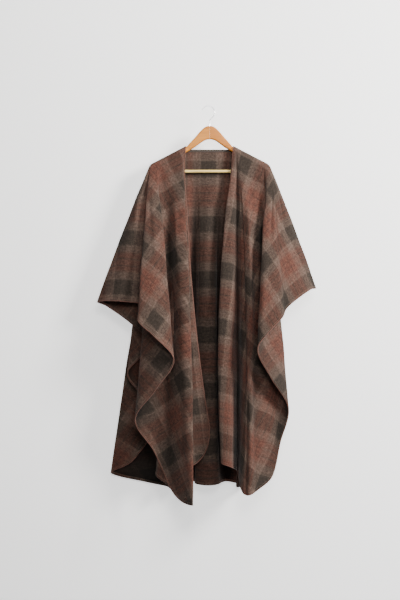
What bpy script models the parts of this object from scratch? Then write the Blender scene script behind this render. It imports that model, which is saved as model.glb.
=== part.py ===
"""A wool cape on a wooden hanger, as separate closed solids. Metres, +Z up.

The origin is the inner top of the hanger's hook, where it bears on its nail.
X runs to the right as the cape is seen, and Y runs towards the wall.
The cape is one broad cloth with a slit front. Each panel hangs in straight ribs
from the hanger's arms, and a table gives the way that each fold's rib hangs.
"""

import math
from collections import namedtuple

import bmesh
import bpy
from mathutils import Vector

# The cloth as it was cut, before it was hung
CLOTH_THICK = 0.0022
LEFT_REACH = 0.650        # neck point to side edge, left
RIGHT_REACH = 0.612       # neck point to side edge, right
LEFT_FRONT_LENGTH = 1.145   # neck point to front hem
RIGHT_FRONT_LENGTH = 1.128  # less, because the cape lies a little askew
BACK_LENGTH = 1.222       # neck line to back hem
CORNER_RADIUS = 0.130     # the fronts' rounded lower corners
BACK_SIDE_STRAIGHT = 0.930  # straight part of the back's side edges, from the shoulder down
SEAM_GAP = 0.0003

# The hanger
HOOK_WIRE = 0.0036
HOOK_RADIUS = 0.0227      # to the wire's centre line
HOOK_OPEN_ANGLE = 158.0
HOOK_CLOSE_ANGLE = -58.0
STEM_X = 0.0047
CROWN_TOP = -0.0706
ARM_THICK = 0.012
ARM_SLOPE = 27.4
NECK_HALF = 0.0860        # stem to each neck point of the cloth
NECK_Z = -0.1440          # top of the cloth at the neck points
BAR_DIAMETER = 0.0110
BAR_Z = -0.2340
BAR_END = 0.1830          # stem to the bar's ends, inside the arms' end blocks
STEM_BEND = 0.012         # drop in which the hook's wire swings back over the stem
ARM_GAP = 0.0010          # between the cloth and the arm's top
COVERED_FROM = 0.004      # length of arm from the neck point to where its top turns straight
ARM_END_TURN = 1.95       # how far round the arm's end its rounding goes, in radians
# The crown's top from the stem outwards, and an arm's underside from its end inwards
CROWN_CURVE_TOP = ((0.0, -0.0706), (0.012, -0.0722), (0.024, -0.0800), (0.038, -0.0940),
                   (0.050, -0.1085), (0.061, -0.1205), (0.073, -0.1340), (0.0815, -0.1440))
ARM_UNDERSIDE = ((0.2060, -0.2500), (0.1930, -0.2500), (BAR_END, -0.2430), (BAR_END, -0.2250),
                 (0.1760, -0.2140), (0.0900, -0.1690), (0.0530, -0.1470), (0.0300, -0.1300),
                 (0.0140, -0.1210), (0.0, -0.1185))

# The line on which the cloth lies over each arm
RIDGE_STRAIGHT = 0.132    # neck point to the start of the arm's rounded end
RIDGE_ROUND = 0.034       # radius of the rounded end
OVER_ARM = 0.0101         # radius of the cloth's turn over the arm's top
OVER_TURN = OVER_ARM * math.pi / 2
ROUND_END = 0.4           # rows within which the cloth widens to that turn at the arm's end
GATHER_DROP = 0.24        # drop within which the fanned cloth gathers into its folds
FAN_SHARE = 0.55          # share of a panel's rows, from its wing, that fan out above that
NECK_SLANT = 0.012        # length of arm within which the back's edge slants down behind it
BAND_DEPTH = 0.0090       # the narrow band inside the back neck
BAND_THICK = 0.0012

# How finely each panel is cut
FRONT_COLUMNS = 56
BACK_COLUMNS = 86
ARM_STEPS = (0.0, 0.005, 0.010, OVER_TURN, 0.034)
DROP_SHARES = (0.06, 0.14, 0.24, 0.35, 0.47, 0.60, 0.73, 0.87, 1.0)
ARM_BEVEL = 0.0050
HOOK_STEPS = 30
SHORT_STEP = 0.0001       # for reading the cloth's direction

# Colours
WOOL_COLOUR = (0.115, 0.085, 0.066, 1.0)
WOOL_INSIDE = (0.095, 0.070, 0.056, 1.0)
BAND_COLOUR = (0.060, 0.048, 0.040, 1.0)
WOOD_COLOUR = (0.62, 0.33, 0.14, 1.0)
BAR_COLOUR = (0.80, 0.66, 0.32, 1.0)
CHROME_COLOUR = (0.78, 0.78, 0.78, 1.0)

# One row for each fold's rib. along: neck point to the rib's start on the ridge, in metres.
# cloth: angle in the flat cloth from the outward weft, in degrees. lean: degrees from plumb,
# + away from the neck. fore: degrees from plumb, + to the front. bow: sideways sag at
# mid-length in metres, + away from the neck.
Fold = namedtuple("Fold", "name along cloth lean fore bow")

LEFT_FRONT = (
    Fold("wing_fold", 0.157, -17.0, 20.8, 3.0, 0.004),
    Fold("wing_face", 0.154, -8.0, 12.5, 6.2, 0.003),
    Fold("wing_inner", 0.151, 0.0, 4.4, 6.4, 0.000),
    Fold("wing_valley", 0.146, 11.0, -0.6, 6.9, 0.000),
    Fold("cascade_knuckle", 0.138, 26.7, 4.3, 12.0, 0.006),
    Fold("cascade_face", 0.126, 35.0, -0.4, 12.4, 0.002),
    Fold("cascade_turn", 0.114, 42.4, -5.1, 10.4, 0.000),
    Fold("cascade_lining_side", 0.108, 49.0, 0.4, 7.4, 0.000),
    Fold("cascade_heel", 0.102, 54.2, 5.3, 4.4, 0.004),
    Fold("panel_side", 0.090, 57.7, 1.8, 3.6, 0.002),
    Fold("panel_low_side", 0.068, 60.4, -0.2, 4.2, 0.000),
    Fold("panel_corner", 0.040, 63.0, -1.6, 6.1, 0.000),
    Fold("crest", 0.018, 64.6, -1.9, 7.0, -0.012),
    Fold("under_crest", 0.012, 70.0, 1.2, 4.6, 0.000),
    Fold("under_fold", 0.008, 77.5, 4.8, 2.6, 0.000),
    Fold("under_face", 0.004, 83.5, -0.3, 1.6, 0.010),
    Fold("free_edge", 0.000, 90.0, -4.9, 1.2, 0.020),
)

RIGHT_FRONT = (
    Fold("wing_fold", 0.157, 9.0, 20.4, 3.0, 0.004),
    Fold("wing_face", 0.154, 18.5, 13.0, 7.6, 0.003),
    Fold("wing_inner", 0.151, 28.0, 6.0, 9.8, 0.000),
    Fold("cascade_side", 0.147, 34.0, 3.9, 12.0, 0.000),
    Fold("cascade_face", 0.140, 40.4, -0.8, 12.6, 0.000),
    Fold("cascade_turn", 0.130, 45.3, -3.3, 11.2, 0.000),
    Fold("cascade_lining_side", 0.125, 51.5, 1.2, 8.2, 0.000),
    Fold("cascade_heel", 0.120, 56.4, 5.4, 4.8, 0.006),
    Fold("panel_side", 0.112, 60.4, 3.6, 3.4, 0.004),
    Fold("panel_low_side", 0.096, 62.8, 2.6, 3.8, 0.002),
    Fold("panel_corner", 0.062, 63.8, 1.2, 5.2, 0.000),
    Fold("crest", 0.028, 65.4, 0.8, 5.8, 0.013),
    Fold("panel_return", 0.016, 69.0, 0.3, 4.4, 0.014),
    Fold("gap_valley", 0.011, 75.0, 0.2, 0.5, 0.002),
    Fold("strip_outer", 0.007, 80.5, -0.8, 4.3, -0.012),
    Fold("strip_inner", 0.003, 85.0, -2.5, 4.0, -0.030),
    Fold("free_edge", 0.000, 90.0, -1.3, 1.9, -0.022),
)

# The back's two halves, each from its wing to the neck point, in the same terms
LEFT_BACK = (
    Fold("wing_fold", 0.157, 17.0, 20.8, 3.0, 0.004),
    Fold("wing_back", 0.153, 26.5, 9.5, 3.2, 0.000),
    Fold("wing_turn", 0.148, 39.0, -0.6, 3.6, 0.000),
    Fold("cascade_back", 0.143, 43.8, 3.4, 2.0, 0.000),
    Fold("cascade_heel", 0.138, 48.2, 6.7, 1.0, 0.002),
    Fold("cascade_under", 0.132, 52.5, 2.6, 0.0, 0.000),
    Fold("hidden_turn", 0.126, 56.5, -0.4, -0.6, 0.000),
    Fold("hidden_flank", 0.121, 61.0, 4.4, -1.4, 0.000),
    Fold("low_silhouette", 0.116, 65.3, 8.7, -2.2, 0.002),
    Fold("low_face", 0.108, 68.4, 3.2, -2.4, 0.000),
    Fold("low_turn", 0.094, 71.0, -0.4, -1.2, 0.000),
    Fold("flute_a", 0.082, 73.0, -1.1, 1.3, 0.000),
    Fold("flute_b", 0.062, 76.0, -0.2, -1.9, 0.000),
    Fold("flute_c", 0.042, 79.0, -1.0, 0.5, 0.000),
    Fold("flute_d", 0.018, 84.0, 0.1, -2.0, 0.000),
    Fold("neck_point", 0.000, 88.0, -0.9, -0.4, 0.000),
)

RIGHT_BACK = (
    Fold("wing_fold", 0.157, -9.0, 20.4, 3.0, 0.004),
    Fold("wing_back", 0.153, 5.0, 10.0, 3.1, 0.000),
    Fold("wing_turn", 0.148, 17.0, 0.6, 3.2, 0.000),
    Fold("cascade_back", 0.143, 29.0, 3.2, 1.8, 0.000),
    Fold("cascade_heel", 0.138, 40.0, 4.4, 0.8, 0.000),
    Fold("hidden_turn", 0.131, 50.0, -1.4, 0.0, 0.000),
    Fold("hidden_flank", 0.125, 57.0, 1.4, -1.0, 0.000),
    Fold("low_silhouette", 0.119, 62.5, 2.4, -2.0, 0.000),
    Fold("low_face", 0.110, 66.5, 1.2, -2.2, 0.000),
    Fold("low_turn", 0.094, 70.5, -1.4, -0.8, 0.000),
    Fold("flute_a", 0.078, 74.0, -1.0, 1.5, 0.000),
    Fold("flute_b", 0.055, 78.0, 0.0, -1.9, 0.000),
    Fold("flute_c", 0.032, 81.0, -0.7, 0.6, 0.000),
    Fold("flute_d", 0.014, 84.5, 0.2, -1.6, 0.000),
    Fold("neck_point", 0.000, 88.0, 0.6, -0.6, 0.000),
)

# The back between the neck points: across is the share of the neck's width from the left
Flute = namedtuple("Flute", "name across lean fore")

BACK_MIDDLE = (
    Flute("valley_left", 0.20, -0.2, -1.9),
    Flute("ridge_flank", 0.34, -0.9, 0.2),
    Flute("ridge", 0.50, -0.1, 1.2),
    Flute("ridge_side", 0.64, 0.6, 0.2),
    Flute("valley_right", 0.80, 0.5, -1.9),
)

# depth_side is -1 for a front and +1 for the back. over is 1 where the rib turns over the arm.
# skip is the part of the rib next to the ridge that is cut away. fan is the heading near the
# ridge, before the cloth gathers into folds.
Rib = namedtuple("Rib", "start heading length depth_side bow over skip fan")


def clear_scene():
    """Remove what the scene holds."""
    for item in list(bpy.data.objects):
        bpy.data.objects.remove(item, do_unlink=True)


def new_material(name, colour, roughness, metallic=0.0):
    """Return a plain material of one colour."""
    material = bpy.data.materials.new(name)
    material.use_nodes = True
    shader = material.node_tree.nodes["Principled BSDF"]
    shader.inputs["Base Color"].default_value = colour
    shader.inputs["Roughness"].default_value = roughness
    shader.inputs["Metallic"].default_value = metallic
    return material


def add_object(name, mesh, material, sharp_degrees=40.0):
    """Link a mesh to the scene as one named object, shaded smooth."""
    mesh.materials.append(material)
    mesh.shade_smooth()
    mesh.set_sharp_from_angle(angle=math.radians(sharp_degrees))
    item = bpy.data.objects.new(name, mesh)
    bpy.context.scene.collection.objects.link(item)
    return item


def glide(values, place):
    """Read a smooth curve through evenly numbered values at a fractional place."""
    last = len(values) - 1
    index = min(int(place), last - 1)
    share = place - index
    before = values[max(index - 1, 0)]
    here = values[index]
    after = values[index + 1]
    beyond = values[min(index + 2, last)]
    slope_here = (after - before) / 2
    slope_after = (beyond - here) / 2
    square = share * share
    cube = square * share
    return (here * (2 * cube - 3 * square + 1) + slope_here * (cube - 2 * square + share)
            + after * (3 * square - 2 * cube) + slope_after * (cube - square))


def ridge_point(along, side):
    """Return the top of the cloth over an arm; side is -1 on the left and +1 on the right."""
    slope = math.radians(ARM_SLOPE)
    straight = min(along, RIDGE_STRAIGHT)
    out = NECK_HALF + straight * math.cos(slope)
    down = straight * math.sin(slope)
    turned = max(along - RIDGE_STRAIGHT, 0.0) / RIDGE_ROUND
    out += RIDGE_ROUND * (math.sin(slope + turned) - math.sin(slope))
    down += RIDGE_ROUND * (math.cos(slope) - math.cos(slope + turned))
    return Vector((STEM_X + side * out, 0.0, NECK_Z - down))


def ease(value):
    """Rise smoothly from 0 to 1."""
    value = min(max(value, 0.0), 1.0)
    return value * value * (3 - 2 * value)


def reach_to_outline(inside, angle, width, length, corner_side, corner_down, slit_radius):
    """Length of a rib in the flat cloth, from the ridge to the cut edge.

    inside is how far the rib starts from the neck point. The outer lower corner is a quarter
    ellipse, and slit_radius rounds the corner at the slit.
    """
    out = math.cos(angle)
    down = math.sin(angle)

    def beyond(distance):
        across = inside + distance * out
        drop = distance * down
        if across > width - corner_side and drop > length - corner_down:
            sideways = (across - width + corner_side) / corner_side
            downwards = (drop - length + corner_down) / corner_down
            return math.hypot(sideways, downwards) > 1.0
        if slit_radius and across < slit_radius and drop > length - slit_radius:
            return math.hypot(across - slit_radius, drop - length + slit_radius) > slit_radius
        return across > width or drop > length

    near = 0.0
    far = 2.5
    for _ in range(40):
        middle = (near + far) / 2
        if beyond(middle):
            far = middle
        else:
            near = middle
    return near


def heading_from(lean, fore, side):
    """Return the unit direction of a rib that leans outwards and forwards from plumb."""
    heading = Vector((side * math.tan(math.radians(lean)), -math.tan(math.radians(fore)), -1.0))
    return heading.normalized()


def half_ribs(rows, count, side, reach, length, corner, slit_radius, depth_side):
    """Return the ribs of a front, or of one half of the back, from its wing to the neck."""
    columns = {field: [getattr(row, field) for row in rows] for field in Fold._fields[1:]}
    ribs = []
    for number in range(count):
        place = number * (len(rows) - 1) / (count - 1)
        along = max(glide(columns["along"], place), 0.0)
        angle = math.radians(glide(columns["cloth"], place))
        fore = glide(columns["fore"], place)
        heading = heading_from(glide(columns["lean"], place), fore, side)
        fanned = max(1 - place / (len(rows) - 1) / FAN_SHARE, 0.0) ** 1.5
        fan = heading_from(rows[0].lean * fanned, fore, side)
        flat = reach_to_outline(along, angle, reach, length, corner[0], corner[1], slit_radius)
        skip = OVER_TURN * ease(1 - along / NECK_SLANT) if depth_side > 0 else 0.0
        ribs.append(Rib(ridge_point(along, side), heading, flat, depth_side,
                        side * glide(columns["bow"], place), ease(place / ROUND_END), skip, fan))
    return ribs


def middle_ribs(count):
    """Return the ribs of the back that hang from the neck line, left to right."""
    first = LEFT_BACK[-1]
    last = RIGHT_BACK[-1]
    across = [0.0] + [row.across for row in BACK_MIDDLE] + [1.0]
    lean = [-first.lean] + [row.lean for row in BACK_MIDDLE] + [last.lean]
    fore = [first.fore] + [row.fore for row in BACK_MIDDLE] + [last.fore]
    left = ridge_point(0.0, -1)
    right = ridge_point(0.0, 1)
    ribs = []
    for number in range(1, count):
        place = number * (len(across) - 1) / count
        share = glide(across, place)
        heading = heading_from(glide(lean, place), glide(fore, place), 1)
        ribs.append(Rib(left.lerp(right, share), heading, BACK_LENGTH, 1.0, 0.0, 1.0, OVER_TURN,
                        heading))
    return ribs


def rib_point(rib, distance):
    """Return the middle of the cloth on a rib at a distance from the ridge."""
    turned = min(distance / OVER_ARM, math.pi / 2)
    heading = rib.fan.lerp(rib.heading, ease(distance / GATHER_DROP))
    bent = rib.start + heading * (distance - turned * OVER_ARM)
    bent.y += rib.depth_side * OVER_ARM * math.sin(turned)
    bent.z -= OVER_ARM * (1 - math.cos(turned))
    point = (rib.start + heading * distance).lerp(bent, rib.over)
    share = distance / rib.length
    point.x += rib.bow * 4 * share * (1 - share)
    point.y += rib.depth_side * (SEAM_GAP + (1 - rib.over) * CLOTH_THICK) / 2
    return point


def rib_distances(rib):
    """Return how far down a rib each point of the cloth lies."""
    first = ARM_STEPS[-1]
    near = [rib.skip + step * (1 - rib.skip / first) for step in ARM_STEPS]
    return near + [first + (rib.length - first) * share for share in DROP_SHARES]


def cloth_grid(ribs, distances):
    """Return rows of points down the middle of the cloth and the normal at each.

    distances gives the points' distances down one rib. There is one row for each rib.
    """
    grid = [[rib_point(rib, distance) for distance in distances(rib)] for rib in ribs]
    last = len(grid) - 1
    normals = []
    for i, rib in enumerate(ribs):
        line = []
        for j, distance in enumerate(distances(rib)):
            across = grid[min(i + 1, last)][j] - grid[max(i - 1, 0)][j]
            down = rib_point(rib, distance + SHORT_STEP) - grid[i][j]
            line.append(across.cross(down).normalized())
        normals.append(line)
    return grid, normals


def moved(grid, normals, distance):
    """Return a grid moved along its normals."""
    return [[point + normal * distance for point, normal in zip(row, line)]
            for row, line in zip(grid, normals)]


def wall_mesh(name, outer, inner):
    """Close two grids of the same layout into one wall."""
    build = bmesh.new()
    layers = [[[build.verts.new(point) for point in row] for row in grid] for grid in (outer, inner)]
    rows = len(outer)
    steps = len(outer[0])
    for i in range(rows - 1):
        for j in range(steps - 1):
            for layer, turn in zip(layers, (1, -1)):
                corners = (layer[i][j], layer[i][j + 1], layer[i + 1][j + 1], layer[i + 1][j])
                build.faces.new(corners[::turn])
    ring = [(i, 0) for i in range(rows)] + [(rows - 1, j) for j in range(1, steps)]
    ring += [(i, steps - 1) for i in range(rows - 2, -1, -1)] + [(0, j) for j in range(steps - 2, 0, -1)]
    for (i, j), (k, m) in zip(ring, ring[1:] + ring[:1]):
        build.faces.new((layers[0][i][j], layers[0][k][m], layers[1][k][m], layers[1][i][j]))
    bmesh.ops.triangulate(build, faces=build.faces[:])
    bmesh.ops.recalc_face_normals(build, faces=build.faces[:])
    mesh = bpy.data.meshes.new(name)
    build.to_mesh(mesh)
    build.free()
    return mesh


def cloth_object(name, ribs, material):
    """Build one stretch of cloth as a closed wall round its middle."""
    grid, normals = cloth_grid(ribs, rib_distances)
    outer = moved(grid, normals, CLOTH_THICK / 2)
    inner = moved(grid, normals, -CLOTH_THICK / 2)
    return add_object(name, wall_mesh(name, outer, inner), material)


def build_cape(wool, wool_inside, band):
    """Build the two fronts, the back and the band inside its neck."""
    front_corner = (CORNER_RADIUS, CORNER_RADIUS)
    left = half_ribs(LEFT_FRONT, FRONT_COLUMNS, -1, LEFT_REACH, LEFT_FRONT_LENGTH, front_corner,
                     CORNER_RADIUS, -1.0)
    right = half_ribs(RIGHT_FRONT, FRONT_COLUMNS, 1, RIGHT_REACH, RIGHT_FRONT_LENGTH, front_corner,
                      CORNER_RADIUS, -1.0)
    cloth_object("cape_front_left", left, wool)
    cloth_object("cape_front_right", right, wool)

    third = BACK_COLUMNS * 2 // 5
    middle = BACK_COLUMNS - 2 * third
    back_drop = BACK_LENGTH - BACK_SIDE_STRAIGHT
    left_back = half_ribs(LEFT_BACK, third, -1, LEFT_REACH, BACK_LENGTH,
                          (LEFT_REACH, back_drop), 0.0, 1.0)
    right_back = half_ribs(RIGHT_BACK, third, 1, RIGHT_REACH, BACK_LENGTH,
                           (RIGHT_REACH, back_drop), 0.0, 1.0)
    neck = middle_ribs(middle)
    cloth_object("cape_back", left_back + neck + right_back[::-1], wool_inside)
    neck_band(neck, band)


def neck_band(ribs, material):
    """Build the narrow band inside the back neck from the back's own points, moved out."""
    steps = [OVER_TURN + BAND_DEPTH * step / 2 for step in range(3)]
    grid, normals = cloth_grid(ribs, lambda rib: steps)
    near = -(CLOTH_THICK / 2 + SEAM_GAP)
    if normals[0][0].y < 0:
        near = -near
    far = near + math.copysign(BAND_THICK, near)
    return add_object("neck_band", wall_mesh("neck_band", moved(grid, normals, near),
                                             moved(grid, normals, far)), material)


def arm_outline():
    """Return one arm's outline from the stem outwards, as pairs of out and z."""
    slope = math.radians(ARM_SLOPE)
    under_cloth = CLOTH_THICK / 2 + ARM_GAP
    points = list(CROWN_CURVE_TOP)
    for step in range(3):
        along = COVERED_FROM + (RIDGE_STRAIGHT - COVERED_FROM) * step / 2
        point = ridge_point(along, 1)
        points.append((point.x - STEM_X - under_cloth * math.sin(slope),
                       point.z - under_cloth * math.cos(slope)))
    radius = RIDGE_ROUND - under_cloth
    centre = ridge_point(RIDGE_STRAIGHT, 1)
    centre_out = centre.x - STEM_X - RIDGE_ROUND * math.sin(slope)
    centre_z = centre.z - RIDGE_ROUND * math.cos(slope)
    for step in range(1, 6):
        turn = slope + (ARM_END_TURN - slope) * step / 5
        points.append((centre_out + radius * math.sin(turn), centre_z + radius * math.cos(turn)))
    return points + list(ARM_UNDERSIDE)


def arm_object(name, side, material):
    """Build one arm of the hanger from its outline, with rounded edges."""
    gap = SEAM_GAP / 2
    build = bmesh.new()
    outline = [(max(out, gap), z) for out, z in arm_outline()]
    front = [build.verts.new((STEM_X + side * out, -ARM_THICK / 2, z)) for out, z in outline]
    face = build.faces.new(front)
    moved_face = bmesh.ops.extrude_face_region(build, geom=[face])
    copies = [item for item in moved_face["geom"] if isinstance(item, bmesh.types.BMVert)]
    bmesh.ops.translate(build, verts=copies, vec=(0.0, ARM_THICK, 0.0))
    rims = [edge for edge in build.edges
            if abs(edge.verts[0].co.y - edge.verts[1].co.y) < gap
            and max(abs(vertex.co.x - STEM_X) for vertex in edge.verts) > ARM_BEVEL]
    bmesh.ops.bevel(build, geom=rims, offset=ARM_BEVEL, segments=3, profile=0.5, affect="EDGES")
    bmesh.ops.triangulate(build, faces=build.faces[:])
    bmesh.ops.recalc_face_normals(build, faces=build.faces[:])
    mesh = bpy.data.meshes.new(name)
    build.to_mesh(mesh)
    build.free()
    return add_object(name, mesh, material)


def rod_object(name, points, diameter, material, sides=3):
    """Build a round rod along a path of points."""
    curve = bpy.data.curves.new(name, "CURVE")
    curve.dimensions = "3D"
    curve.bevel_depth = diameter / 2
    curve.bevel_resolution = sides
    curve.use_fill_caps = True
    spline = curve.splines.new("POLY")
    spline.points.add(len(points) - 1)
    for node, point in zip(spline.points, points):
        node.co = (point[0], point[1], point[2], 1.0)
    curve.materials.append(material)
    item = bpy.data.objects.new(name, curve)
    bpy.context.scene.collection.objects.link(item)
    return item


def build_hanger(wood, pale_wood, chrome):
    """Build the two arms, the trouser bar and the wire hook."""
    arm_object("hanger_arm_left", -1, wood)
    arm_object("hanger_arm_right", 1, wood)
    reach = BAR_END - SEAM_GAP
    rod_object("hanger_bar", [(STEM_X - reach, 0.0, BAR_Z), (STEM_X + reach, 0.0, BAR_Z)],
               BAR_DIAMETER, pale_wood, 4)
    centre_z = HOOK_WIRE / 2 - HOOK_RADIUS
    path = []
    for step in range(HOOK_STEPS + 1):
        turn = math.radians(HOOK_OPEN_ANGLE + (HOOK_CLOSE_ANGLE - HOOK_OPEN_ANGLE) * step / HOOK_STEPS)
        path.append((HOOK_RADIUS * math.cos(turn), 0.0, centre_z + HOOK_RADIUS * math.sin(turn)))
    last = Vector(path[-1])
    stem_top = Vector((STEM_X, 0.0, last.z - STEM_BEND))
    for step in range(1, 5):
        share = ease(step / 4)
        path.append((last.x + (stem_top.x - last.x) * share, 0.0, last.z - STEM_BEND * step / 4))
    path.append((STEM_X, 0.0, CROWN_TOP + SEAM_GAP))
    rod_object("hanger_hook", path, HOOK_WIRE, chrome)


def main():
    """Build every piece."""
    clear_scene()
    wool = new_material("wool_face", WOOL_COLOUR, 0.95)
    wool_inside = new_material("wool_back", WOOL_INSIDE, 0.95)
    band = new_material("neck_tape", BAND_COLOUR, 0.9)
    wood = new_material("hanger_wood", WOOD_COLOUR, 0.4)
    pale_wood = new_material("bar_wood", BAR_COLOUR, 0.5)
    chrome = new_material("hook_chrome", CHROME_COLOUR, 0.15, 1.0)
    build_cape(wool, wool_inside, band)
    build_hanger(wood, pale_wood, chrome)


main()
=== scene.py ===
"""Looks of a wool cape on a wooden hanger, built round its fixed CAD frame.

Metres, +Z up. X runs to the right as the cape is seen, and Y towards the wall. The origin is
the inner top of the hanger's hook. Each panel of the cape hangs in straight ribs from the
hanger's arms, with the same sizes and fold tables as its solid, and finer.
"""

from __future__ import annotations

import logging
import math
from dataclasses import dataclass, field
from enum import Enum
from typing import NamedTuple, Sequence

import bmesh
import bpy
import numpy as np
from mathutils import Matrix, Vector

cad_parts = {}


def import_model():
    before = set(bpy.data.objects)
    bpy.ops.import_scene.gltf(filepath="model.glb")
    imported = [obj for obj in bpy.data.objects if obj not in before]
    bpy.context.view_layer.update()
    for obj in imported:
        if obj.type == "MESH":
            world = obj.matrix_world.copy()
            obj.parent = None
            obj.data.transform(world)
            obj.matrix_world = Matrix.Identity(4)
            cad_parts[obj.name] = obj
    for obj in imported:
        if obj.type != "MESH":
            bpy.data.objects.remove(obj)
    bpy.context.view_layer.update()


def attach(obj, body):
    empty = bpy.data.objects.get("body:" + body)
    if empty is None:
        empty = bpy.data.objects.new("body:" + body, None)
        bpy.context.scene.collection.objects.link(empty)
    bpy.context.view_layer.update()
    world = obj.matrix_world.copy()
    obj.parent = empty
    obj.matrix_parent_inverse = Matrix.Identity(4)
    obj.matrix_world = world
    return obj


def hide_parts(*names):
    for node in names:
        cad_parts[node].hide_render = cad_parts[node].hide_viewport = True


LOG = logging.getLogger("cape")
MILLIMETRE = 0.001
# Depth of a fold valley that gets the full painted shade in the wool's colour.
PAINTED_SHADE_DEPTH = 0.009

Colour = tuple[float, float, float, float]
Point = tuple[float, float, float]


class Side(Enum):
    """Which half of the cape, as it is seen."""

    LEFT = -1
    RIGHT = 1


class Hang(Enum):
    """Which way a panel falls from the arms."""

    FRONT = -1.0
    BACK = 1.0


def srgb(red: int, green: int, blue: int) -> Colour:
    """Turn a colour as seen on a screen into linear light.

    Args:
        red, green, blue: Screen values, 0 to 255.

    Returns:
        The linear colour, opaque.
    """
    def linear(value: int) -> float:
        """Turn one screen value into linear light."""
        share = value / 255
        return share / 12.92 if share <= 0.04045 else ((share + 0.055) / 1.055) ** 2.4

    return (linear(red), linear(green), linear(blue), 1.0)


# Sizes shared by the cloth and the hanger


@dataclass(frozen=True)
class HangerSizes:
    """The hanger's own sizes."""

    stem_x: float = 0.0047
    crown_top: float = -0.0706
    arm_thick: float = 0.012
    arm_slope: float = math.radians(27.4)
    neck_half: float = 0.0860
    neck_z: float = -0.1440
    ridge_straight: float = 0.132
    ridge_round: float = 0.034
    arm_gap: float = 0.0010
    arm_bevel: float = 0.0050
    covered_from: float = 0.004
    arm_end_turn: float = 1.95
    hook_wire: float = 0.0036
    hook_radius: float = 0.0227
    hook_open: float = 158.0
    hook_close: float = -58.0
    stem_bend: float = 0.012
    bar_diameter: float = 0.011
    bar_z: float = -0.2340
    bar_end: float = 0.1830
    hook_steps: int = 70
    swing_steps: int = 8


@dataclass(frozen=True)
class ClothSizes:
    """The cloth as it was cut, and how it lies over the arms."""

    thick: float = 0.0022
    left_reach: float = 0.650
    right_reach: float = 0.612
    left_front: float = 1.145
    right_front: float = 1.128
    back: float = 1.222
    corner: float = 0.130
    back_side_straight: float = 0.930
    over_arm: float = 0.0101
    round_end: float = 0.4
    gather_drop: float = 0.24
    fan_share: float = 0.55
    neck_slant: float = 0.012
    hem: float = 0.009
    hem_thick: float = 0.0009
    band: float = 0.009
    band_thick: float = 0.0012
    near_steps: int = 9
    near_rest: float = 0.004


HANGER = HangerSizes()
CLOTH = ClothSizes()
OVER_TURN = CLOTH.over_arm * math.pi / 2


class Fold(NamedTuple):
    """One fold's rib: its start on the arm, its angle in the flat cloth, and how it hangs."""

    name: str
    along: float
    cloth: float
    lean: float
    fore: float
    bow: float


class Flute(NamedTuple):
    """One rib of the back between the neck points."""

    name: str
    across: float
    lean: float
    fore: float


class Crease(NamedTuple):
    """A soft ridge or trough on a panel.

    place and width are in rows of the panel's fold table, top and bottom in shares of the drop,
    depth in millimetres (+ is a ridge on the outside) and drift in rows from top to bottom.
    """

    name: str
    place: float
    top: float
    bottom: float
    depth: float
    width: float
    drift: float


LEFT_FRONT = (
    Fold("wing_fold", 0.157, -17.0, 20.8, 3.0, 0.004),
    Fold("wing_face", 0.154, -8.0, 12.5, 6.2, 0.003),
    Fold("wing_inner", 0.151, 0.0, 4.4, 6.4, 0.000),
    Fold("wing_valley", 0.146, 11.0, -0.6, 6.9, 0.000),
    Fold("cascade_knuckle", 0.138, 26.7, 4.3, 12.0, 0.006),
    Fold("cascade_face", 0.126, 35.0, -0.4, 12.4, 0.002),
    Fold("cascade_turn", 0.114, 42.4, -5.1, 10.4, 0.000),
    Fold("cascade_lining_side", 0.108, 49.0, 0.4, 7.4, 0.000),
    Fold("cascade_heel", 0.102, 54.2, 5.3, 4.4, 0.004),
    Fold("panel_side", 0.090, 57.7, 1.8, 3.6, 0.002),
    Fold("panel_low_side", 0.068, 60.4, -0.2, 4.2, 0.000),
    Fold("panel_corner", 0.040, 63.0, -1.6, 6.1, 0.000),
    Fold("crest", 0.018, 64.6, -1.9, 7.0, -0.012),
    Fold("under_crest", 0.012, 70.0, 1.2, 4.6, 0.000),
    Fold("under_fold", 0.008, 77.5, 4.8, 2.6, 0.000),
    Fold("under_face", 0.004, 83.5, -0.3, 1.6, 0.010),
    Fold("free_edge", 0.000, 90.0, -4.9, 1.2, 0.020),
)

RIGHT_FRONT = (
    Fold("wing_fold", 0.157, 9.0, 20.4, 3.0, 0.004),
    Fold("wing_face", 0.154, 18.5, 13.0, 7.6, 0.003),
    Fold("wing_inner", 0.151, 28.0, 6.0, 9.8, 0.000),
    Fold("cascade_side", 0.147, 34.0, 3.9, 12.0, 0.000),
    Fold("cascade_face", 0.140, 40.4, -0.8, 12.6, 0.000),
    Fold("cascade_turn", 0.130, 45.3, -3.3, 11.2, 0.000),
    Fold("cascade_lining_side", 0.125, 51.5, 1.2, 8.2, 0.000),
    Fold("cascade_heel", 0.120, 56.4, 5.4, 4.8, 0.006),
    Fold("panel_side", 0.112, 60.4, 3.6, 3.4, 0.004),
    Fold("panel_low_side", 0.096, 62.8, 2.6, 3.8, 0.002),
    Fold("panel_corner", 0.062, 63.8, 1.2, 5.2, 0.000),
    Fold("crest", 0.028, 65.4, 0.8, 5.8, 0.013),
    Fold("panel_return", 0.016, 69.0, 0.3, 4.4, 0.014),
    Fold("gap_valley", 0.011, 75.0, 0.2, 0.5, 0.002),
    Fold("strip_outer", 0.007, 80.5, -0.8, 4.3, -0.012),
    Fold("strip_inner", 0.003, 85.0, -2.5, 4.0, -0.030),
    Fold("free_edge", 0.000, 90.0, -1.3, 1.9, -0.022),
)

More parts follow.
